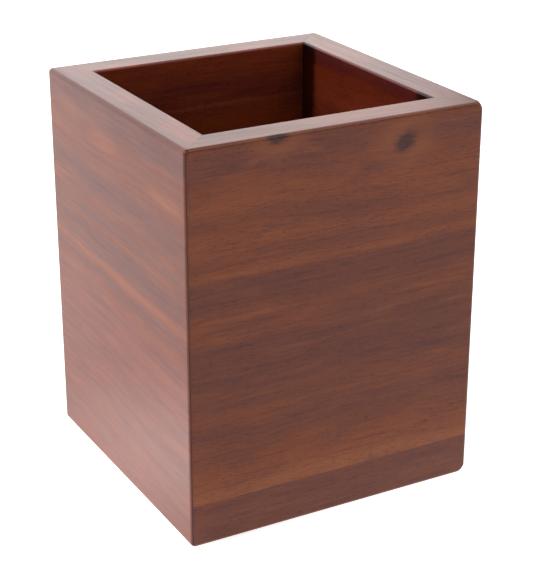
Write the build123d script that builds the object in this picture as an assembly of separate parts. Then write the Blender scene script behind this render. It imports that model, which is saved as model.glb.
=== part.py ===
from build123d import *
import os
from math import sqrt

# A square, open-topped holder of thick hardwood. Four walls meet in mitres at the corners, held by
# glued-in biscuits. The front and back walls are each edge-glued from a tall board and a low strip.
# A base board sits in a groove in the walls, and four thin felt pads keep the holder off the table.
# Millimetres. The origin is in the middle of the footprint, at table level: X to the right of the
# front wall, Y to the back, Z up.

# The holder as a whole
width = 140.0  # left to right, over the walls
depth = 140.0  # front to back, over the walls
wall_height = 176.0  # height of the walls, without the pads
wall = 16.0  # thickness of the wall boards
lower_board_height = 19.5  # the low strip of the front and back walls

# Eased edges
edge_round = 2.0  # all outer edges
inner_rim_round = 1.0  # inner edge of the rim
# The tips of the two right-hand corners are sanded rounder, as if by a rounded box a little larger
# than the holder that touches it only there
tip_round = 6.4
tip_room = 1.4  # by which that box stands off the outer faces

# Base board and the groove it sits in
base_thickness = 12.0
base_recess = 4.0  # from the foot of the walls up to the underside of the base
tongue_thickness = 6.0
groove_depth = 5.0
groove_top_gap = 0.2
swelling_gap = 0.5  # between the edge of the tongue and the bottom of the groove, on each side
shoulder_gap = 0.3  # between the raised middle of the base and the walls, on each side

# Biscuits in the mitres
biscuit_length = 47.0
biscuit_width = 15.0
biscuit_thickness = 4.0
biscuit_end_width = 4.0  # width of the blunt ends
slot_gap = 0.5  # between the curved edges of a biscuit and its slot
biscuit_from_inside = 7.6  # from the inner corner, along the mitre, to the middle of the biscuit
slot_above_strip = 6.0  # from the glue line of the strip to the lower end of the lower slot
slot_below_rim = 18.0  # from the upper end of the upper slot to the rim

# Felt pads
pad_thickness = 1.5
pad_diameter = 12.0
pad_inset = 11.0  # from both outer faces to the middle of a pad

# Levels and reaches that follow from these
foot = pad_thickness
rim = foot + wall_height
glue_line = foot + lower_board_height
groove_bottom = foot + base_recess
groove_top = groove_bottom + tongue_thickness + groove_top_gap
base_top = groove_bottom + base_thickness
cavity_width = width - 2 * wall
cavity_depth = depth - 2 * wall
# a biscuit's long edges are arcs, and the saw disc that cuts its slots has the same radius
biscuit_bulge = (biscuit_width - biscuit_end_width) / 2
biscuit_edge_radius = (biscuit_bulge**2 + (biscuit_length / 2) ** 2) / (2 * biscuit_bulge)
slot_depth = biscuit_width / 2 + slot_gap  # into each wall, square to the mitre
slot_half_length = sqrt(biscuit_edge_radius**2 - (biscuit_edge_radius - slot_depth) ** 2)
biscuit_levels = {
    "lower": glue_line + slot_above_strip + slot_half_length,
    "upper": rim - slot_below_rim - slot_half_length,
}

# Half-width of the band in which an edge counts as lying at a given place
tiny = 0.01

# Each corner: the signs of x and y that lead to it, and the two walls that meet there
corners = {
    "front_left": (-1, -1, ("front", "left")),
    "front_right": (1, -1, ("front", "right")),
    "back_right": (1, 1, ("back", "right")),
    "back_left": (-1, 1, ("back", "left")),
}
# The direction from the middle of the holder to each wall
wall_sides = {"front": (0, -1), "right": (1, 0), "back": (0, 1), "left": (-1, 0)}


def slab(x_size, y_size, low, high):
    """An upright block centred on the Z axis, from one level to another."""
    block = Box(x_size, y_size, high - low, align=(Align.CENTER, Align.CENTER, Align.MIN))
    return block.moved(Location((0, 0, low)))


def rounded_block():
    """The outer shape of the holder: a block with eased edges and its right-hand tips rounded off."""
    block = slab(width, depth, foot, rim)
    block = fillet(block.edges(), edge_round)
    over = 2 * tip_room
    tip_shape = slab(2 * width, depth + over, foot - tip_room, rim + tip_room)
    tip_shape = fillet(tip_shape.edges(), tip_round)
    return block & tip_shape.moved(Location((tip_room - width / 2, 0, 0)))


def inner_rim_edges(tube):
    """The four edges between the rim and the cavity."""
    half_x = cavity_width / 2 + tiny
    half_y = cavity_depth / 2 + tiny
    edges = tube.edges().filter_by_position(Axis.Z, rim - tiny, rim + tiny)
    edges = edges.filter_by_position(Axis.X, -half_x, half_x)
    return edges.filter_by_position(Axis.Y, -half_y, half_y)


def walls_in_one():
    """The four walls before they are parted at the mitres, with the cavity and the groove cut."""
    tube = rounded_block() - slab(cavity_width, cavity_depth, foot, rim)
    tube = fillet(inner_rim_edges(tube), inner_rim_round)
    groove_x = cavity_width + 2 * groove_depth
    groove_y = cavity_depth + 2 * groove_depth
    return tube - slab(groove_x, groove_y, groove_bottom, groove_top)


def mitre_wedge(side):
    """The part of the plan that belongs to one wall, as an upright prism over the whole height."""
    towards_x, towards_y = wall_sides[side]
    half_x = width / 2
    half_y = depth / 2
    beyond = wall  # the prism runs past the walls outside, along the line of both mitres
    inner_x = half_x - wall
    inner_y = half_y - wall
    outer_x = half_x + beyond
    outer_y = half_y + beyond
    if towards_x == 0:
        outline = [
            (-outer_x, towards_y * outer_y),
            (outer_x, towards_y * outer_y),
            (inner_x, towards_y * inner_y),
            (-inner_x, towards_y * inner_y),
        ]
    else:
        outline = [
            (towards_x * outer_x, -outer_y),
            (towards_x * outer_x, outer_y),
            (towards_x * inner_x, inner_y),
            (towards_x * inner_x, -inner_y),
        ]
    face = make_face(Polyline(*outline, close=True))
    return extrude(Plane.XY.offset(foot - beyond) * face, wall_height + 2 * beyond, dir=(0, 0, 1))


def biscuit_place(corner, level):
    """The middle of a biscuit: X runs square to the mitre, Y upright, and Z out of the corner."""
    sign_x, sign_y, _ = corners[corner]
    along_mitre = biscuit_from_inside / sqrt(2)
    x = sign_x * (width / 2 - wall + along_mitre)
    y = sign_y * (depth / 2 - wall + along_mitre)
    across = (sign_x / sqrt(2), -sign_y / sqrt(2), 0)
    outward = (sign_x / sqrt(2), sign_y / sqrt(2), 0)
    return Plane(origin=(x, y, level), x_dir=across, z_dir=outward)


def biscuit(corner, level):
    """One lens-shaped biscuit with blunt ends, standing across the mitre."""
    half_width = biscuit_width / 2
    half_length = biscuit_length / 2
    half_end = biscuit_end_width / 2
    outline = Wire(
        [
            Line((-half_end, -half_length), (half_end, -half_length)),
            ThreePointArc((half_end, -half_length), (half_width, 0), (half_end, half_length)),
            Line((half_end, half_length), (-half_end, half_length)),
            ThreePointArc((-half_end, half_length), (-half_width, 0), (-half_end, -half_length)),
        ]
    )
    lens = extrude(make_face(outline), biscuit_thickness / 2, both=True)
    return biscuit_place(corner, level) * lens


def slot_cutter(corner, side, level):
    """The saw disc that sinks one biscuit slot into one wall, square to its mitre face."""
    into_wall = 1 if side in ("left", "right") else -1
    centre = -into_wall * (biscuit_edge_radius - slot_depth)
    disc = Cylinder(biscuit_edge_radius, biscuit_thickness)
    return biscuit_place(corner, level) * Location((centre, 0, 0)) * disc


def wall_panel(side, walls):
    """One whole wall, mitred at both ends, with its biscuit slots."""
    panel = walls & mitre_wedge(side)
    for corner, (_, _, meeting) in corners.items():
        if side in meeting:
            for level in biscuit_levels.values():
                panel = panel - slot_cutter(corner, side, level)
    return panel


def base_board():
    """The base: a raised middle between the walls, and a thin tongue all round in their groove."""
    reach = 2 * (groove_depth - swelling_gap)
    tongue = slab(
        cavity_width + reach, cavity_depth + reach, groove_bottom, groove_bottom + tongue_thickness
    )
    middle = slab(
        cavity_width - 2 * shoulder_gap, cavity_depth - 2 * shoulder_gap, groove_bottom, base_top
    )
    return tongue + middle


def felt_pad(corner):
    """A round pad stuck under the mitre of one corner."""
    sign_x, sign_y, _ = corners[corner]
    pad = Cylinder(pad_diameter / 2, pad_thickness, align=(Align.CENTER, Align.CENTER, Align.MIN))
    x = sign_x * (width / 2 - pad_inset)
    y = sign_y * (depth / 2 - pad_inset)
    return pad.moved(Location((x, y, 0)))


def all_pieces():
    """Every separate piece of the holder, by name."""
    pieces = {}
    walls = walls_in_one()
    strip_room = slab(width, depth, foot, glue_line)
    tall_board_room = slab(width, depth, glue_line, rim)
    for side in wall_sides:
        panel = wall_panel(side, walls)
        if side in ("front", "back"):
            pieces[side + "_wall_upper_board"] = panel & tall_board_room
            pieces[side + "_wall_lower_board"] = panel & strip_room
        else:
            pieces[side + "_wall_board"] = panel
    pieces["base_board"] = base_board()
    for corner in corners:
        for height, level in biscuit_levels.items():
            pieces[corner + "_" + height + "_biscuit"] = biscuit(corner, level)
        pieces[corner + "_felt_pad"] = felt_pad(corner)
    return pieces


os.makedirs("parts", exist_ok=True)
for name, piece in all_pieces().items():
    export_step(piece.solid(), os.path.join("parts", name + ".step"))
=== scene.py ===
import math

import bpy
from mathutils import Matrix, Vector, noise


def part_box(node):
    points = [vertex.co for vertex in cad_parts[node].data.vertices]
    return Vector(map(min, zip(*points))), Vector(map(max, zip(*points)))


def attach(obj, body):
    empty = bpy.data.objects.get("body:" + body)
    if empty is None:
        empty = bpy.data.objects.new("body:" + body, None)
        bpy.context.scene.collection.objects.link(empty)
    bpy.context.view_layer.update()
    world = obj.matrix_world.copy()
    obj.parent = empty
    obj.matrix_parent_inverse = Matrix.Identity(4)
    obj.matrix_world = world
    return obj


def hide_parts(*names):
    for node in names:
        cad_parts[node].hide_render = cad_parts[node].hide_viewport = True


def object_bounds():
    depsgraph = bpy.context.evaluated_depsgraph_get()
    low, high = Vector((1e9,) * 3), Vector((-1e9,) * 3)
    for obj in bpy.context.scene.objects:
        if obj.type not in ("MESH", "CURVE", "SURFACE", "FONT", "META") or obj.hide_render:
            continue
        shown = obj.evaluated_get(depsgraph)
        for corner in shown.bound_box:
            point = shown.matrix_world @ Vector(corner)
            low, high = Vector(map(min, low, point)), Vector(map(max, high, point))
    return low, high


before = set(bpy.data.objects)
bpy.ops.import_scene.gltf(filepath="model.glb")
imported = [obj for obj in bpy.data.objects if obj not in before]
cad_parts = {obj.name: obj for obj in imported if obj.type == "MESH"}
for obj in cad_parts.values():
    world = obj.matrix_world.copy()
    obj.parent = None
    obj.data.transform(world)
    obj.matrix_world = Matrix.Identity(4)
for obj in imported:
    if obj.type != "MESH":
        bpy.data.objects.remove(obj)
cad_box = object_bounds()

# --- Front wall: the tall upper board -------------------------------------------------------------
# A plain-sawn hardwood board, stained red-brown, with two small knots near the rim. Its ends are
# mitred to the side walls and its lower edge is glued to the strip below. Satin lacquer all over.

METRE_IN_MM = 1000.0

# The holder in millimetres, the unit that all the wood is worked out in
board_low, board_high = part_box("front_wall_upper_board")
half_width = board_high.x * METRE_IN_MM  # from the middle of the holder to its outer faces
rim_level = board_high.z * METRE_IN_MM
glue_level = board_low.z * METRE_IN_MM
foot_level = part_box("front_wall_lower_board")[0].z * METRE_IN_MM
wall_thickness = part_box("left_wall_board")[1].x * METRE_IN_MM + half_width
to_right = (1, 0, 0)
to_left = (-1, 0, 0)
to_back = (0, 1, 0)
to_front = (0, -1, 0)
upwards = (0, 0, 1)
downwards = (0, 0, -1)

# The tones of the stained wood: browns from pale to dark, then reds and mauves, then the darks of
# streaks, knots and glue lines
amber = (0.205, 0.057, 0.0145)
russet = (0.163, 0.037, 0.007)
chestnut = (0.127, 0.0275, 0.0068)
umber = (0.099, 0.0213, 0.0093)
plum = (0.108, 0.028, 0.0145)
mulberry = (0.146, 0.035, 0.017)
rose = (0.225, 0.058, 0.028)
streak_dark = (0.073, 0.0142, 0.0118)
knot_brown = (0.030, 0.0070, 0.0060)
seam_black = (0.010, 0.004, 0.003)
# How much of the wood's own colour shows through a dark growth line, an open pore, the shadowy
# wood round a knot, painted shade inside the holder, an edge and a painted corner shadow. Even
# stain changes nothing.
growth_line = (0.56, 0.35, 0.48, 1)
open_pore = (0.40, 0.24, 0.34, 1)
knot_shadow = (0.60, 0.44, 0.48, 1)
inside_painted_shade = (0.86, 0.52, 0.78, 1)
edge_stain = (0.60, 0.52, 0.60, 1)
corner_painted_shadow = (0.05, 0.03, 0.05, 1)
even_stain = (1, 1, 1, 1)
# The share of each layer of grain in the colour, where it is strongest
dark_line_share = 0.62
pale_line_share = 0.34
fibre_share = 0.62
pore_share = 0.62
# The rim's broad patches, from the dark of the cloud that places them to its light
rim_patches = ((0.0, plum), (0.30, plum), (0.46, mulberry), (0.68, rose))
rim_patch_share = 0.85
brow_depth = (2.0, 6.5)  # the dark brow fades out between these depths into the rim
rim_grain_loss = 0.7  # the share of the fine grain that doesn't show on the rim
bands_height = 200.0  # how far down a board its bands are given


class Recipe:
    """A material put together node by node. Each step gives back the new node's output."""

    def __init__(self, name):
        self.material = bpy.data.materials.new(name)
        self.material.use_nodes = True
        self.tree = self.material.node_tree
        self.tree.nodes.clear()

    def step(self, kind, inputs, output=0, **settings):
        node = self.tree.nodes.new("ShaderNode" + kind)
        for setting, value in settings.items():
            setattr(node, setting, value)
        for socket, value in inputs.items():
            if isinstance(value, bpy.types.NodeSocket):
                self.tree.links.new(value, node.inputs[socket])
            else:
                node.inputs[socket].default_value = value
        return node.outputs[output] if node.outputs else None

    def math(self, operation, *values):
        return self.step("Math", dict(enumerate(values)), operation=operation)

    def place(self):
        """The place of the point on the holder, in millimetres."""
        metres = self.step("TexCoord", {}, 3)
        return self.step("VectorMath", {0: metres, "Scale": METRE_IN_MM}, operation="SCALE")

    def along(self, place, direction):
        """How far a place lies along a direction."""
        return self.step("VectorMath", {0: place, 1: direction}, 1, operation="DOT_PRODUCT")

    def join(self, x, y, z):
        return self.step("CombineXYZ", {0: x, 1: y, 2: z})

    def fade(self, value, start, end, low=0.0, high=1.0):
        """Goes smoothly from low to high while the value goes from start to end."""
        inputs = {"Value": value, "From Min": start, "From Max": end, "To Min": low, "To Max": high}
        return self.step("MapRange", inputs, interpolation_type="SMOOTHSTEP")

    def cloud(self, place, lump, seed, detail=2.0, roughness=0.5):
        """Soft noise from 0 to 1, in lumps of about so many millimetres along X, Y and Z."""
        to_lumps = tuple(1 / length for length in lump)
        scaled = self.step("VectorMath", {0: place, 1: to_lumps}, operation="MULTIPLY")
        inputs = {"Vector": scaled, "W": seed, "Scale": 1.0, "Detail": detail, "Roughness": roughness}
        return self.step("TexNoise", inputs, noise_dimensions="4D")

    def waved(self, value, cloud, swing):
        """A value that the cloud pushes up and down by half the swing."""
        return self.math("MULTIPLY_ADD", self.math("SUBTRACT", cloud, 0.5), swing, value)

    def blend(self, share, first, second, blend_type="MIX"):
        inputs = {0: share, 6: first, 7: second}
        return self.step("Mix", inputs, 2, data_type="RGBA", blend_type=blend_type)

    def ramp(self, value, stops, length):
        """Colour by place: stops are (place, tone), and the ramp runs from 0 to length."""
        output = self.step("ValToRGB", {0: self.math("DIVIDE", value, length)})
        ramp = output.node.color_ramp
        ramp.interpolation = "EASE"
        for number, (place, tone) in enumerate(stops):
            if number < 2:
                stop = ramp.elements[number]
                stop.position = place / length
            else:
                stop = ramp.elements.new(place / length)
            stop.color = (*tone, 1.0)
        return output


class BoardPlace:
    """A point's place in a board: along its grain, into its thickness, and down across its bands."""

    def __init__(self, recipe, grain, inwards, across, start):
        place = recipe.place()
        self.along = recipe.along(place, grain)
        self.depth = recipe.math("ADD", recipe.along(place, inwards), half_width)
        self.down = recipe.math("ADD", recipe.along(place, across), start)
        self.solid = recipe.join(self.along, self.depth, self.down)


def streak_mask(recipe, place, streak):
    """A lens-shaped streak that lies along the grain: 1 in its middle and 0 at its edge."""
    middle_along, middle_down, half_length, half_height, rise = streak
    inputs = {
        "Vector": place,
        "Location": (middle_along, 0, middle_down),
        "Rotation": (0, math.atan2(rise, 2 * half_length), 0),
        "Scale": (half_length, 1, half_height),
    }
    inside = recipe.step("Mapping", inputs, vector_type="TEXTURE")
    reach = recipe.step("VectorMath", {0: inside}, 1, operation="LENGTH")
    return recipe.fade(reach, 1.0, 0.0)


def bent_grain(recipe, board, quick_wave, knots, slope, seed):
    """How far down a point lies in the growth, which waves along the board and rounds the knots."""
    slow_wave = recipe.cloud(board.solid, (90, 50, 40), seed, detail=1.0)
    bent = recipe.waved(recipe.waved(board.down, slow_wave, swing=8.0), quick_wave, swing=2.6)
    bent = recipe.math("MULTIPLY_ADD", board.along, slope, bent)
    for middle_along, middle_down, size, _, push in knots:
        surroundings = (middle_along, middle_down, size * 3.4, size * 2.4, 0)
        around = streak_mask(recipe, board.solid, surroundings)
        away = recipe.math("MULTIPLY", recipe.math("SUBTRACT", middle_down, board.down), push)
        bent = recipe.math("MULTIPLY_ADD", away, around, bent)
    return bent


def band_colour(recipe, layer, bands, drift):
    """The broad bands of a board, with a slow drift of tone within them."""
    colour = recipe.ramp(layer, bands, bands_height)
    darker = recipe.fade(drift, 0.42, 0.72, high=0.42)
    redder = recipe.fade(drift, 0.56, 0.30, high=0.38)
    colour = recipe.blend(darker, colour, (*umber, 1))
    return recipe.blend(redder, colour, (*russet, 1))


def rim_colour(recipe, board, colour, on_rim, brow, seed):
    """Broad patches of rose and plum on the rim, behind a brow as dark as the face's top band."""
    patches = recipe.cloud(board.solid, (50, 26, 26), seed, detail=1.0)
    rim_tone = recipe.ramp(patches, rim_patches, 1.0)
    brow_share = rim_patch_share * (1.0 - brow)
    behind_brow = recipe.fade(board.depth, *brow_depth, brow_share, rim_patch_share)
    return recipe.blend(recipe.math("MULTIPLY", on_rim, behind_brow), colour, rim_tone)


def streak_colour(recipe, board, colour, bent, quick_wave, pale, dark, seed):
    """Ragged, broken streaks where the tree laid down paler or darker wood."""
    fine_wave = recipe.cloud(board.solid, (7, 3, 2), seed + 3, detail=3.0)
    ragged_along = recipe.waved(board.along, quick_wave, swing=26.0)
    ragged_along = recipe.waved(ragged_along, fine_wave, swing=12.0)
    figure = recipe.join(ragged_along, 0.0, recipe.waved(bent, fine_wave, swing=2.8))
    bent_place = recipe.join(board.along, board.depth, bent)
    breaks = recipe.cloud(bent_place, (22, 6, 1.8), seed + 7, detail=3.0)
    unbroken = recipe.fade(breaks, 0.30, 0.62, 0.55, 1.15)
    for streaks, tone in ((pale, amber), (dark, streak_dark)):
        for *lens, strength in streaks:
            mask = recipe.math("MULTIPLY", streak_mask(recipe, figure, lens), strength)
            colour = recipe.blend(recipe.math("MULTIPLY", mask, unbroken), colour, (*tone, 1))
    return colour


def paint_knot(recipe, board, colour, knot, seed):
    """A dark knot with a ragged outline and a few rings, in a swirl of paler wood."""
    middle_along, middle_down, size, rise = knot[:4]
    tangle = recipe.cloud(board.solid, (4, 4, 2.5), seed, detail=3.0, roughness=0.6)
    strands = recipe.cloud(board.solid, (9, 6, 1.3), seed + 1, detail=3.0, roughness=0.6)
    # the branch slopes down into the board, so it lies lower the deeper it is
    branch_slope = -1.2
    tangled_down = recipe.waved(board.down, tangle, swing=4.5)
    knot_down = recipe.math("MULTIPLY_ADD", board.depth, branch_slope, tangled_down)
    spot = recipe.join(recipe.waved(board.along, strands, swing=9.0), 0.0, knot_down)
    swirl_lens = (middle_along, middle_down, size * 3.0, size * 2.3, rise)
    shadow_lens = (middle_along, middle_down, size * 2.1, size * 1.3, rise * 1.6)
    core_lens = (middle_along, middle_down, size * 1.3, size * 0.85, rise)
    swirl = recipe.math("MULTIPLY", streak_mask(recipe, spot, swirl_lens), 0.8)
    shadow = recipe.math("MULTIPLY", streak_mask(recipe, spot, shadow_lens), 0.9)
    core = streak_mask(recipe, spot, core_lens)
    colour = recipe.blend(swirl, colour, (*amber, 1))
    colour = recipe.blend(shadow, colour, knot_shadow, "MULTIPLY")
    ring_turns = recipe.math("SINE", recipe.math("MULTIPLY", core, 17.0))
    rings = recipe.fade(ring_turns, -0.2, 1.0, 1.0, 0.85)
    dark = recipe.math("MULTIPLY", recipe.fade(core, 0.02, 0.75, high=0.95), rings)
    return recipe.blend(dark, colour, (*knot_brown, 1))


def edge_distances(recipe):
    """Millimetres from the outer edges, from the inner edge of the rim, and from the mitres."""
    place = recipe.place()
    x = recipe.math("ABSOLUTE", recipe.along(place, to_right))
    y = recipe.math("ABSOLUTE", recipe.along(place, to_back))
    z = recipe.along(place, upwards)
    from_x = recipe.math("SUBTRACT", half_width, x)
    from_y = recipe.math("SUBTRACT", half_width, y)
    from_rim = recipe.math("SUBTRACT", rim_level, z)
    from_end = recipe.math("MINIMUM", from_rim, recipe.math("SUBTRACT", z, foot_level))
    nearer = recipe.math("MINIMUM", from_x, from_y)
    further = recipe.math("MAXIMUM", from_x, from_y)
    outer = recipe.math("MAXIMUM", nearer, recipe.math("MINIMUM", further, from_end))
    cavity_half = half_width - wall_thickness
    from_cavity = recipe.math("SUBTRACT", recipe.math("MAXIMUM", x, y), cavity_half)
    inner = recipe.math("MAXIMUM", from_cavity, from_rim)
    mitre = recipe.math("ABSOLUTE", recipe.math("SUBTRACT", x, y))
    return outer, inner, mitre


def lacquered_wood(
    name,
    bands,
    grain,
    inwards,
    seed,
    tilt,
    slope=0.0,
    crisp=1.0,
    pale=(),
    dark=(),
    knots=(),
    seams=(),
    across=downwards,
    start=rim_level,
    mitred=True,
    brow=0.0,
    shadow_reach=0.0,
    stain=even_stain,
    inside_painted_light=inside_painted_shade,
):
    """Stained hardwood under satin lacquer, with its growth bands, streaks, knots and seams.

    The bands follow each other across the grain, from the start. They tilt into the board, and slope
    along it. Crisp is the strength of the fine grain, the brow darkens the front of the rim as it
    goes from 0 to 1, and a painted shadow darkens the inner faces so many millimetres out from the
    inner corners. The colour laid over the inner faces paints their light and shade.
    """
    recipe = Recipe(name)
    board = BoardPlace(recipe, grain, inwards, across, start)
    quick_wave = recipe.cloud(board.solid, (26, 20, 9), seed + 1)
    bent = bent_grain(recipe, board, quick_wave, knots, slope, seed)
    layer = recipe.math("MULTIPLY_ADD", board.depth, tilt, bent)

    drift = recipe.cloud(board.solid, (30, 14, 8), seed + 2, detail=3.0)
    colour = band_colour(recipe, layer, bands, drift)
    on_rim = recipe.fade(board.down, 1.0, 0.2) if mitred else 0.0
    colour = rim_colour(recipe, board, colour, on_rim, brow, seed + 9)
    colour = streak_colour(recipe, board, colour, bent, quick_wave, pale, dark, seed)

    # growth lines, fibres and open pores, finer and finer
    stretched = recipe.join(board.along, board.depth, layer)
    lines = recipe.cloud(stretched, (34, 2.4, 1.3), seed + 4, detail=4.0, roughness=0.65)
    fibres = recipe.cloud(stretched, (8, 0.7, 0.5), seed + 5, roughness=0.6)
    pores = recipe.cloud(stretched, (2.8, 0.5, 0.27), seed + 6, detail=0.0)
    pore_crowding = recipe.fade(drift, 0.3, 0.6, low=0.3)
    pore_mask = recipe.math("MULTIPLY", recipe.fade(pores, 0.58, 0.72), pore_crowding)
    fine = recipe.math("MULTIPLY_ADD", on_rim, -rim_grain_loss * crisp, crisp)
    for mask, most, tone, blend_type in (
        (recipe.fade(lines, 0.50, 0.76), dark_line_share, growth_line, "MULTIPLY"),
        (recipe.fade(lines, 0.50, 0.24), pale_line_share, (*amber, 1), "MIX"),
        (recipe.fade(fibres, 0.42, 0.80), fibre_share, growth_line, "MULTIPLY"),
        (pore_mask, pore_share, open_pore, "MULTIPLY"),
    ):
        share = recipe.math("MULTIPLY", recipe.math("MULTIPLY", mask, most), fine)
        colour = recipe.blend(share, colour, tone, blend_type)
    for number, knot in enumerate(knots):
        colour = paint_knot(recipe, board, colour, knot, seed + 10 + 2 * number)
    colour = recipe.blend(1.0, colour, stain, "MULTIPLY")

    # painted shade inside the holder: the wood there is darker and redder, and darkest in a painted
    # shadow near the corners
    inside = recipe.fade(board.depth, wall_thickness - 2.0, wall_thickness - 0.5)
    colour = recipe.blend(inside, colour, inside_painted_light, "MULTIPLY")
    outer, inner, mitre = edge_distances(recipe)
    unevenness = recipe.cloud(board.solid, (7, 7, 7), seed + 8, detail=3.0)
    if shadow_reach > 0.0:
        shadow_edge = recipe.waved(mitre, unevenness, swing=5.0)
        corner_shade = recipe.fade(shadow_edge, shadow_reach + 2.5, shadow_reach - 3.0, high=0.9)
        colour = recipe.blend(recipe.math("MULTIPLY", corner_shade, inside), colour, corner_painted_shadow, "MULTIPLY")

    # eased edges, where the stain gathers and the lacquer dulls, and hairline seams between boards
    edge = recipe.math("MAXIMUM", recipe.fade(outer, 1.3, 0.2), recipe.fade(inner, 0.9, 0.2))
    worn = recipe.math("MULTIPLY", edge, recipe.fade(unevenness, 0.30, 0.70, 0.10, 0.45))
    below_rim = recipe.fade(board.down, 0.3, 2.5, low=0.2)
    colour = recipe.blend(recipe.math("MULTIPLY", worn, below_rim), colour, edge_stain, "MULTIPLY")
    seam = recipe.math("MULTIPLY", recipe.fade(mitre, 0.55, 0.15), below_rim) if mitred else 0.0
    for level in seams:
        gap = recipe.math("ABSOLUTE", recipe.math("SUBTRACT", board.down, rim_level - level))
        seam = recipe.math("MAXIMUM", seam, recipe.fade(gap, 0.25, 0.05, high=0.4))
    colour = recipe.blend(recipe.math("MULTIPLY", seam, 0.92), colour, (*seam_black, 1))

    # the lacquer film follows the pores a little, and is a trace duller over dense grain
    height = recipe.math("MULTIPLY_ADD", pore_mask, -0.6, recipe.math("MULTIPLY", fibres, 0.4))
    height = recipe.math("MULTIPLY_ADD", seam, -1.0, height)
    dullness = recipe.fade(lines, 0.3, 0.8, 0.36, 0.50)
    inputs = {
        "Base Color": colour,
        "Roughness": recipe.math("MULTIPLY_ADD", worn, 0.10, dullness),
        "Normal": recipe.step("Bump", {"Strength": 0.25, "Distance": 0.00012, "Height": height}),
        "Specular IOR Level": 0.05,
        "Coat Weight": 0.39,
        "Coat Roughness": 0.18,
        "Coat IOR": 1.5,
    }
    recipe.step("OutputMaterial", {"Surface": recipe.step("BsdfPrincipled", inputs)})
    return recipe.material


def finish_node(node_name, material):
    """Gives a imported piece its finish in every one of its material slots."""
    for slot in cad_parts[node_name].material_slots:
        slot.material = material


# bands of colour down the face, as (millimetres below the rim, tone)
upper_front_bands = (
    (0, chestnut), (9, umber), (14, chestnut), (27, russet), (34, chestnut), (42, russet),
    (49, chestnut), (54, russet), (58, umber), (66, umber), (73, chestnut), (81, chestnut),
    (88, umber), (104, umber), (117, chestnut), (124, umber), (134, chestnut), (146, russet),
    (154, amber), (200, amber),
)
# streaks: middle along, middle down, half length, half height, rise along its length, strength
upper_front_pale = (
    (-45, 55, 40, 1.6, 0, 0.5), (25, 54.5, 45, 1.5, 0, 0.5), (-40, 74, 34, 1.5, 0, 0.6),
    (40, 77.5, 22, 1.3, 0, 0.5), (25, 84.5, 12, 2.0, 0, 0.5), (58, 87, 14, 1.4, 0, 0.4),
    (-52, 82, 20, 3.0, 1, 0.4), (-20, 117, 60, 1.0, 0, 0.3), (20, 152, 90, 4.0, 0, 0.6),
    (34, 4.5, 14, 2.0, 2, 0.5), (-14, 8, 9, 2.4, -2, 0.5), (-42, 9, 8, 2.4, 2, 0.5),
)
upper_front_dark = (
    (8, 3.2, 24, 0.8, 0, 0.5), (-52, 12, 22, 1.2, 2, 0.5), (0, 15, 32, 1.0, -2, 0.35),
    (46, 11, 14, 1.6, 0, 0.5), (19, 20, 11, 3.5, 0, 0.45), (48, 23, 16, 1.1, 1, 0.45),
    (20, 14, 9, 2.2, 0, 0.6), (38, 8, 6, 2.6, 3, 0.6), (14, 29, 42, 0.9, 3, 0.6),
    (10, 37, 18, 1.8, 0, 0.4), (60, 37.5, 14, 0.9, 0, 0.5), (-30, 38.5, 16, 0.8, 0, 0.5),
    (-46, 46.5, 26, 0.8, 1, 0.6), (22, 47, 30, 0.8, 0, 0.6), (-35, 61, 26, 4.5, 0, 0.4),
    (50, 67, 28, 4.0, 0, 0.35), (-46, 75.8, 17, 0.6, 0, 0.8), (46, 80, 24, 0.8, 0, 0.6),
    (-50, 87.5, 26, 1.6, 1, 0.7), (8, 88.5, 26, 1.5, 0, 0.4), (-50, 100, 16, 4, 0, 0.4),
    (50, 106, 14, 3, 0, 0.45), (-44, 112, 20, 2, 0, 0.4), (14, 128, 22, 2.4, 0, 0.4),
    (2, 142, 7, 3.5, 0, 0.35), (6, 42, 42, 30, 0, 0.22), (6, 88, 42, 26, 0, 0.2),
)
# knots: middle along, middle down, size, rise, how hard the grain is pushed aside
upper_front_knots = ((-29, 0.8, 6.2, 1, 0.55), (31, 12.3, 7.0, 10, 0.65))
front_board_wood = lacquered_wood(
    "front_board_wood", upper_front_bands, grain=to_right, inwards=to_back, seed=3.0, tilt=0.5,
    pale=upper_front_pale, dark=upper_front_dark, knots=upper_front_knots, seams=(glue_level,),
)
finish_node("front_wall_upper_board", front_board_wood)

# --- Front wall: the low strip --------------------------------------------------------------------
# A narrower offcut of the same wood, darker and more even, glued under the tall board to make up
# the height of the wall. The glue line between them is straight and almost without a gap.
strip_plum = (0.116, 0.0305, 0.0155)
lower_strip_bands = (
    (0, strip_plum), (156, strip_plum), (160, umber), (166, strip_plum), (200, mulberry),
)
front_strip_wood = lacquered_wood(
    "front_strip_wood", lower_strip_bands, grain=to_right, inwards=to_back, seed=21.0, tilt=0.3,
    seams=(glue_level,),
)
finish_node("front_wall_lower_board", front_strip_wood)

# --- Back wall ------------------------------------------------------------------------------------
# Made like the front wall: a tall board over a low strip, edge-glued, with its own grain. The tall
# board's inner face is painted a little paler than the other walls': painted light in place of their
# painted shade.
back_inside_painted_light = (1.38, 1.10, 1.45, 1)
upper_back_bands = (
    (0, chestnut), (12, umber), (30, russet), (44, chestnut), (60, umber), (78, chestnut),
    (90, russet), (112, chestnut), (130, umber), (150, chestnut), (200, russet),
)
upper_back_pale = ((-20, 24, 60, 2.0, 0, 0.5), (30, 48, 50, 1.6, 1, 0.5), (0, 92, 70, 2.4, -1, 0.5))
upper_back_dark = ((10, 14, 60, 1.2, 1, 0.5), (-30, 62, 40, 3.5, 0, 0.4), (25, 120, 45, 2.4, 0, 0.5))
back_board_wood = lacquered_wood(
    "back_board_wood", upper_back_bands, grain=to_left, inwards=to_front, seed=41.0, tilt=-0.4,
    slope=0.02, pale=upper_back_pale, dark=upper_back_dark, seams=(glue_level,),
    inside_painted_light=back_inside_painted_light,
)
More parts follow.
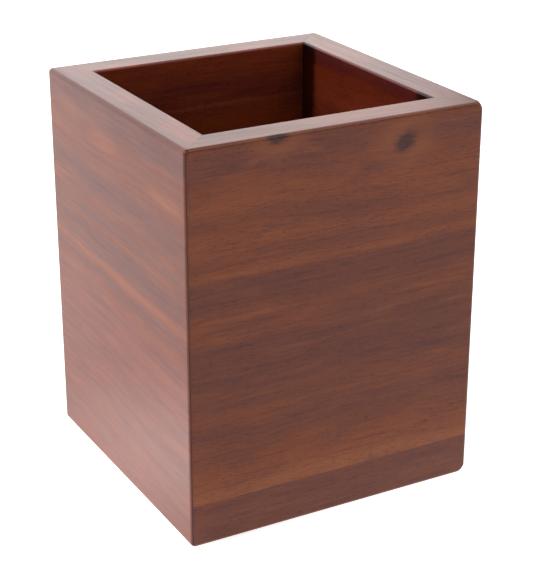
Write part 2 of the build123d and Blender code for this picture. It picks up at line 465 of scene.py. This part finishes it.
finish_node("back_wall_upper_board", back_board_wood)
back_strip_wood = lacquered_wood(
    "back_strip_wood", lower_strip_bands, grain=to_left, inwards=to_front, seed=55.0, tilt=0.2,
    seams=(glue_level,),
)
finish_node("back_wall_lower_board", back_strip_wood)

# --- Left and right walls -------------------------------------------------------------------------
# One full-height board each, mitred at both ends, with strong bands of orange and mauve. Inside the
# holder a painted shadow darkens them near where they meet the front and back walls.
dull_mulberry = (0.134, 0.034, 0.0165)
reddened_stain = (1.17, 1.0, 1.0, 1)
corner_shadow_reach = 11.0
# darker bands at the top, paler at the foot: partly the wood, partly painted light on the lower face
left_bands = (
    (0, plum), (11, plum), (16, chestnut), (30, chestnut), (36, plum), (44, plum), (50, chestnut),
    (56, plum), (60, chestnut), (64, plum), (72, plum), (77, russet), (82, plum), (88, chestnut),
    (97, mulberry), (108, mulberry), (124, dull_mulberry), (200, dull_mulberry),
)
left_pale = (
    (-48, 12, 26, 6, 0, 0.45), (-10, 18, 24, 7, 0, 0.55), (48, 25, 24, 6, 0, 0.7),
    (-55, 22, 16, 6, 0, 0.35), (-60, 46, 14, 5, 0, 0.45), (-10, 49, 22, 3, 0, 0.3),
    (50, 51, 20, 3, 0, 0.45), (0, 60, 90, 0.9, -1, 0.45), (0, 76.5, 120, 2.6, 0, 0.5),
    (-45, 89, 34, 4, 0, 0.55), (40, 90, 38, 3, 0, 0.35), (50, 104, 30, 3, 0, 0.4),
    (55, 132, 22, 3.5, 0, 0.4), (10, 134, 70, 2, 0, 0.25),
)
left_dark = (
    (0, 4, 130, 8, -1, 0.65), (48, 7, 44, 7, -2, 0.5), (25, 10.5, 90, 1.1, -4, 0.6),
    (22, 24, 20, 1.0, 0, 0.35), (0, 39, 110, 6, 0, 0.42), (0, 57, 70, 1.8, 0, 0.35),
    (0, 67, 110, 6, 0, 0.42), (0, 82, 100, 1.4, -1, 0.4), (0, 97, 110, 3.5, 0, 0.3),
    (-20, 115, 80, 2.5, 0, 0.25), (-20, 142, 60, 3, 0, 0.25),
)
left_wood = lacquered_wood(
    "left_board_wood", left_bands, grain=to_front, inwards=to_right, seed=71.0, tilt=0.4,
    slope=-0.02, crisp=0.45, pale=left_pale, dark=left_dark, brow=0.9, shadow_reach=corner_shadow_reach,
    stain=reddened_stain,
)
finish_node("left_wall_board", left_wood)
right_bands = (
    (0, umber), (7, plum), (12, russet), (26, amber), (40, russet), (58, chestnut), (76, umber),
    (96, russet), (120, chestnut), (140, umber), (200, russet),
)
right_pale = ((10, 22, 60, 4.0, 1, 0.5), (-20, 50, 50, 2.4, 0, 0.5), (25, 98, 60, 3.0, -1, 0.5))
right_dark = ((0, 5, 110, 4.0, 0, 0.5), (15, 36, 50, 1.4, 1, 0.5), (-20, 80, 60, 3.5, 0, 0.5))
right_wood = lacquered_wood(
    "right_board_wood", right_bands, grain=to_back, inwards=to_left, seed=87.0, tilt=0.3,
    slope=0.01, pale=right_pale, dark=right_dark, shadow_reach=corner_shadow_reach,
)
finish_node("right_wall_board", right_wood)

# --- Base board -----------------------------------------------------------------------------------
# A flat board of the same hardwood, held by its tongue in the groove of the walls. Its grain runs
# from left to right, and its bands follow each other from back to front.
base_bands = (
    (0, umber), (24, chestnut), (48, umber), (66, russet), (84, chestnut), (104, umber),
    (124, russet), (200, umber),
)
base_dark = ((-10, 40, 60, 3.0, 2, 0.5), (20, 92, 50, 2.4, -1, 0.5))
base_wood = lacquered_wood(
    "base_board_wood", base_bands, grain=to_right, inwards=downwards, seed=103.0, tilt=0.9,
    dark=base_dark, across=to_front, start=half_width, mitred=False,
)
finish_node("base_board", base_wood)

# --- Biscuits -------------------------------------------------------------------------------------
# Lens-shaped wafers of pressed beech, glued into slots across the mitres, two to a corner. Their
# grain lies slantwise, and both faces are embossed with a fine grid that takes up the glue.
beech_pale = (0.50, 0.33, 0.19, 1)
beech_dark = (0.36, 0.21, 0.11, 1)
beech_fleck = (0.24, 0.12, 0.06, 1)
grid_pitch = 1.6
slant = math.sqrt(0.5)


def grid_line(recipe, place_across):
    """0 in the middle of each groove of the embossed grid, and 1 half-way between two of them."""
    turns = recipe.math("MULTIPLY", place_across, math.pi / grid_pitch)
    return recipe.math("ABSOLUTE", recipe.math("SINE", turns))


def pressed_beech(name, across):
    """Pressed beech for the biscuits of two opposite corners, which lie across this direction."""
    recipe = Recipe(name)
    place = recipe.place()
    side = recipe.along(place, across)
    up = recipe.along(place, upwards)
    face = recipe.along(place, (across[1], -across[0], 0))
    rising = recipe.math("MULTIPLY", recipe.math("ADD", side, up), slant)
    falling = recipe.math("MULTIPLY", recipe.math("SUBTRACT", side, up), slant)
    slanted = recipe.join(rising, face, falling)
    tone = recipe.cloud(slanted, (20, 3, 1.5), 5.0, detail=3.0)
    flecks = recipe.cloud(slanted, (2.4, 0.4, 0.3), 6.0, detail=1.0)
    grid = recipe.math("MINIMUM", grid_line(recipe, rising), grid_line(recipe, falling))
    colour = recipe.blend(recipe.fade(tone, 0.35, 0.7), beech_pale, beech_dark)
    colour = recipe.blend(recipe.fade(flecks, 0.58, 0.72, high=0.7), colour, beech_fleck)
    colour = recipe.blend(recipe.fade(grid, 0.25, 0.0, high=0.4), colour, beech_fleck)
    height = recipe.math("MULTIPLY_ADD", flecks, 0.3, recipe.fade(grid, 0.0, 0.4))
    inputs = {
        "Base Color": colour,
        "Roughness": recipe.fade(tone, 0.3, 0.8, 0.62, 0.82),
        "Normal": recipe.step("Bump", {"Strength": 0.5, "Distance": 0.0002, "Height": height}),
    }
    recipe.step("OutputMaterial", {"Surface": recipe.step("BsdfPrincipled", inputs)})
    return recipe.material


for wood_name, across, corner_pair in (
    ("pressed_beech_falling", (slant, -slant, 0), ("front_left", "back_right")),
    ("pressed_beech_rising", (slant, slant, 0), ("front_right", "back_left")),
):
    beech = pressed_beech(wood_name, across)
    for corner in corner_pair:
        for level in ("lower", "upper"):
            finish_node(corner + "_" + level + "_biscuit", beech)

# --- Felt pads ------------------------------------------------------------------------------------
# Four thin round pads of dark brown wool felt, punched from a sheet and stuck under the mitres. Their
# cut edge is a little rounded and uneven, and the holder's weight has pressed them flat.
felt_brown = (0.090, 0.060, 0.045, 1)
felt_dark = (0.042, 0.027, 0.020, 1)
felt_light = (0.190, 0.140, 0.105, 1)
pad_segments = 72
flat_rings = (0.0, 0.3, 0.6, 0.85)  # shares of the radius
edge_steps = 5
edge_radius = 0.00035
fuzz = 0.00016  # how far the cut edge strays inwards
tufts_to_a_metre = 1400


def pressed_felt():
    """Matted wool fibres, with lighter and darker hairs and a soft sheen."""
    recipe = Recipe("pressed_felt")
    place = recipe.place()
    matting = recipe.cloud(place, (1 / 1.2, 1 / 1.2, 1 / 1.2), 8.0, detail=4.0, roughness=0.7)
    hairs = recipe.cloud(place, (1 / 4, 1 / 9, 1 / 4), 9.0)
    cross_hairs = recipe.cloud(place, (1 / 9, 1 / 4, 1 / 4), 10.0)
    colour = recipe.blend(recipe.fade(matting, 0.3, 0.7), felt_dark, felt_brown)
    colour = recipe.blend(recipe.fade(hairs, 0.58, 0.75, high=0.7), colour, felt_light)
    colour = recipe.blend(recipe.fade(cross_hairs, 0.60, 0.75, high=0.6), colour, felt_dark)
    height = recipe.math("ADD", matting, recipe.math("ADD", hairs, cross_hairs))
    inputs = {
        "Base Color": colour,
        "Roughness": recipe.fade(matting, 0.2, 0.8, 0.88, 1.0),
        "Normal": recipe.step("Bump", {"Strength": 0.6, "Distance": 0.0002, "Height": height}),
        "Sheen Weight": 0.35,
        "Sheen Roughness": 0.5,
    }
    recipe.step("OutputMaterial", {"Surface": recipe.step("BsdfPrincipled", inputs)})
    return recipe.material


def pad_profile(radius, low_level, high_level):
    """Half the section of a pad, from the middle of its underside round to the middle of its top."""
    profile = [(radius * share, low_level) for share in flat_rings]
    for corner_level, first_turn in ((low_level + edge_radius, -90), (high_level - edge_radius, 0)):
        for step in range(edge_steps + 1):
            turn = math.radians(first_turn + 90 * step / edge_steps)
            out = radius - edge_radius + edge_radius * math.cos(turn)
            profile.append((out, corner_level + edge_radius * math.sin(turn)))
    profile += [(radius * share, high_level) for share in reversed(flat_rings)]
    return profile


def felt_disc(name, low, high):
    """A round pad that fills the box from low to high, its rounded edge a little uneven."""
    middle = (low + high) / 2
    radius = (high.x - low.x) / 2
    rings = pad_profile(radius, low.z, high.z)[1:-1]
    points = []
    faces = []
    for out, level in rings:
        edge_share = min(1.0, out / radius) ** 8
        for segment in range(pad_segments):
            angle = 2 * math.pi * segment / pad_segments
            way = Vector((math.cos(angle), math.sin(angle), 0))
            place = Vector((middle.x, middle.y, level)) + way * out
            raggedness = noise.fractal(place * tufts_to_a_metre, 1.0, 2.0, 3)
            points.append(place - way * fuzz * edge_share * (0.5 + 0.5 * raggedness))
    for ring in range(len(rings) - 1):
        for segment in range(pad_segments):
            after = (segment + 1) % pad_segments
            corners = (ring, segment), (ring, after), (ring + 1, after), (ring + 1, segment)
            faces.append([row * pad_segments + column for row, column in corners])
    under_middle = len(points)
    top_middle = under_middle + 1
    points.append(Vector((middle.x, middle.y, low.z)))
    points.append(Vector((middle.x, middle.y, high.z)))
    last_ring = (len(rings) - 1) * pad_segments
    for segment in range(pad_segments):
        after = (segment + 1) % pad_segments
        faces.append([under_middle, after, segment])
        faces.append([top_middle, last_ring + segment, last_ring + after])
    mesh = bpy.data.meshes.new(name)
    mesh.from_pydata(points, [], faces)
    mesh.shade_smooth()
    disc = bpy.data.objects.new(name, mesh)
    bpy.context.scene.collection.objects.link(disc)
    return disc


felt = pressed_felt()
for corner in ("front_left", "front_right", "back_right", "back_left"):
    pad_node = corner + "_felt_pad"
    pad = felt_disc(corner + "_felt_disc", *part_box(pad_node))
    pad.data.materials.append(felt)
    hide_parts(pad_node)
    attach(pad, "root")

# --- Floor, lights and camera ---------------------------------------------------------------------
# A flat sheet of white paper lit from below, more strongly left of the holder and in front of it,
# and broad soft panels on all sides. The camera is a little above the holder, off its front left
# corner.
floor_half = 4.0
paper_pale = (0.86, 0.86, 0.86, 1)
paper_grey = (0.82, 0.82, 0.82, 1)
mottle_size = 1 / 0.009
paper_glow = 0.72
left_glow_boost = 1.5
front_glow_boost = 0.33
# a stronger patch of light, like a streak: its middle and half its size, to the right and the back
left_glow_patch = (-108, 0, 75, 130, 0)
front_glow_patch = (45, -85, 150, 60, 0)


def glowing_paper():
    """White paper over a light table."""
    recipe = Recipe("white_paper")
    place = recipe.place()
    mottle = recipe.cloud(place, (mottle_size, mottle_size, mottle_size), 1.0, detail=3.0)
    plan = recipe.join(recipe.along(place, to_right), 0.0, recipe.along(place, to_back))
    left_glow = recipe.math("MULTIPLY", streak_mask(recipe, plan, left_glow_patch), left_glow_boost)
    front_glow = streak_mask(recipe, plan, front_glow_patch)
    glow = recipe.math("MULTIPLY_ADD", front_glow, front_glow_boost, left_glow)
    inputs = {
        "Base Color": recipe.blend(mottle, paper_grey, paper_pale),
        "Roughness": 0.9,
        "Emission Color": (1, 1, 1, 1),
        "Emission Strength": recipe.math("ADD", glow, paper_glow),
    }
    recipe.step("OutputMaterial", {"Surface": recipe.step("BsdfPrincipled", inputs)})
    return recipe.material


floor_mesh = bpy.data.meshes.new("floor")
floor_corners = [(-floor_half, -floor_half, 0), (floor_half, -floor_half, 0)]
floor_corners += [(floor_half, floor_half, 0), (-floor_half, floor_half, 0)]
floor_mesh.from_pydata(floor_corners, [], [(0, 1, 2, 3)])
floor_mesh.materials.append(glowing_paper())
floor = bpy.data.objects.new("floor", floor_mesh)
bpy.context.scene.collection.objects.link(floor)


def soft_light(name, place, target, width, height, power):
    """A soft light panel that faces a point of the scene."""
    lamp = bpy.data.lights.new(name, "AREA")
    lamp.shape = "RECTANGLE"
    lamp.size = width
    lamp.size_y = height
    lamp.energy = power
    light = bpy.data.objects.new(name, lamp)
    light.location = place
    light.rotation_mode = "QUATERNION"
    light.rotation_quaternion = (Vector(target) - Vector(place)).to_track_quat("-Z", "Y")
    light.visible_camera = False
    bpy.context.scene.collection.objects.link(light)


middle = (cad_box[0] + cad_box[1]) / 2
soft_light("left_soft_light", (-1.00, 0.10, 0.95), middle, width=0.8, height=0.8, power=10)
soft_light("back_soft_light", (-0.20, 1.45, 0.62), middle, width=3.0, height=1.15, power=24)
soft_light("right_soft_light", (1.20, 0.50, 1.10), middle, width=1.2, height=1.2, power=5)
soft_light("top_soft_light", (0.50, -0.30, 1.20), middle, width=0.7, height=0.7, power=3)
soft_light("front_soft_light", (0.62, -1.30, 0.45), middle, width=1.1, height=0.7, power=3.2)

room_light = 0.35
world = bpy.data.worlds.new("white_room")
world.use_nodes = True
room_inputs = world.node_tree.nodes["Background"].inputs
room_inputs["Color"].default_value = (1, 1, 1, 1)
room_inputs["Strength"].default_value = room_light
bpy.context.scene.world = world

lens_mm = 101.2
camera_place = (-0.3269, -0.6016, 0.3676)
look_down = 22.707  # degrees below level
look_right = 28.82  # degrees to the right of straight back
camera = bpy.data.objects.new("camera", bpy.data.cameras.new("camera"))
camera.data.lens = lens_mm
camera.location = camera_place
camera.rotation_euler = (math.radians(90 - look_down), 0, math.radians(-look_right))
bpy.context.scene.collection.objects.link(camera)
bpy.context.scene.camera = camera
bpy.context.scene.view_settings.view_transform = "Standard"
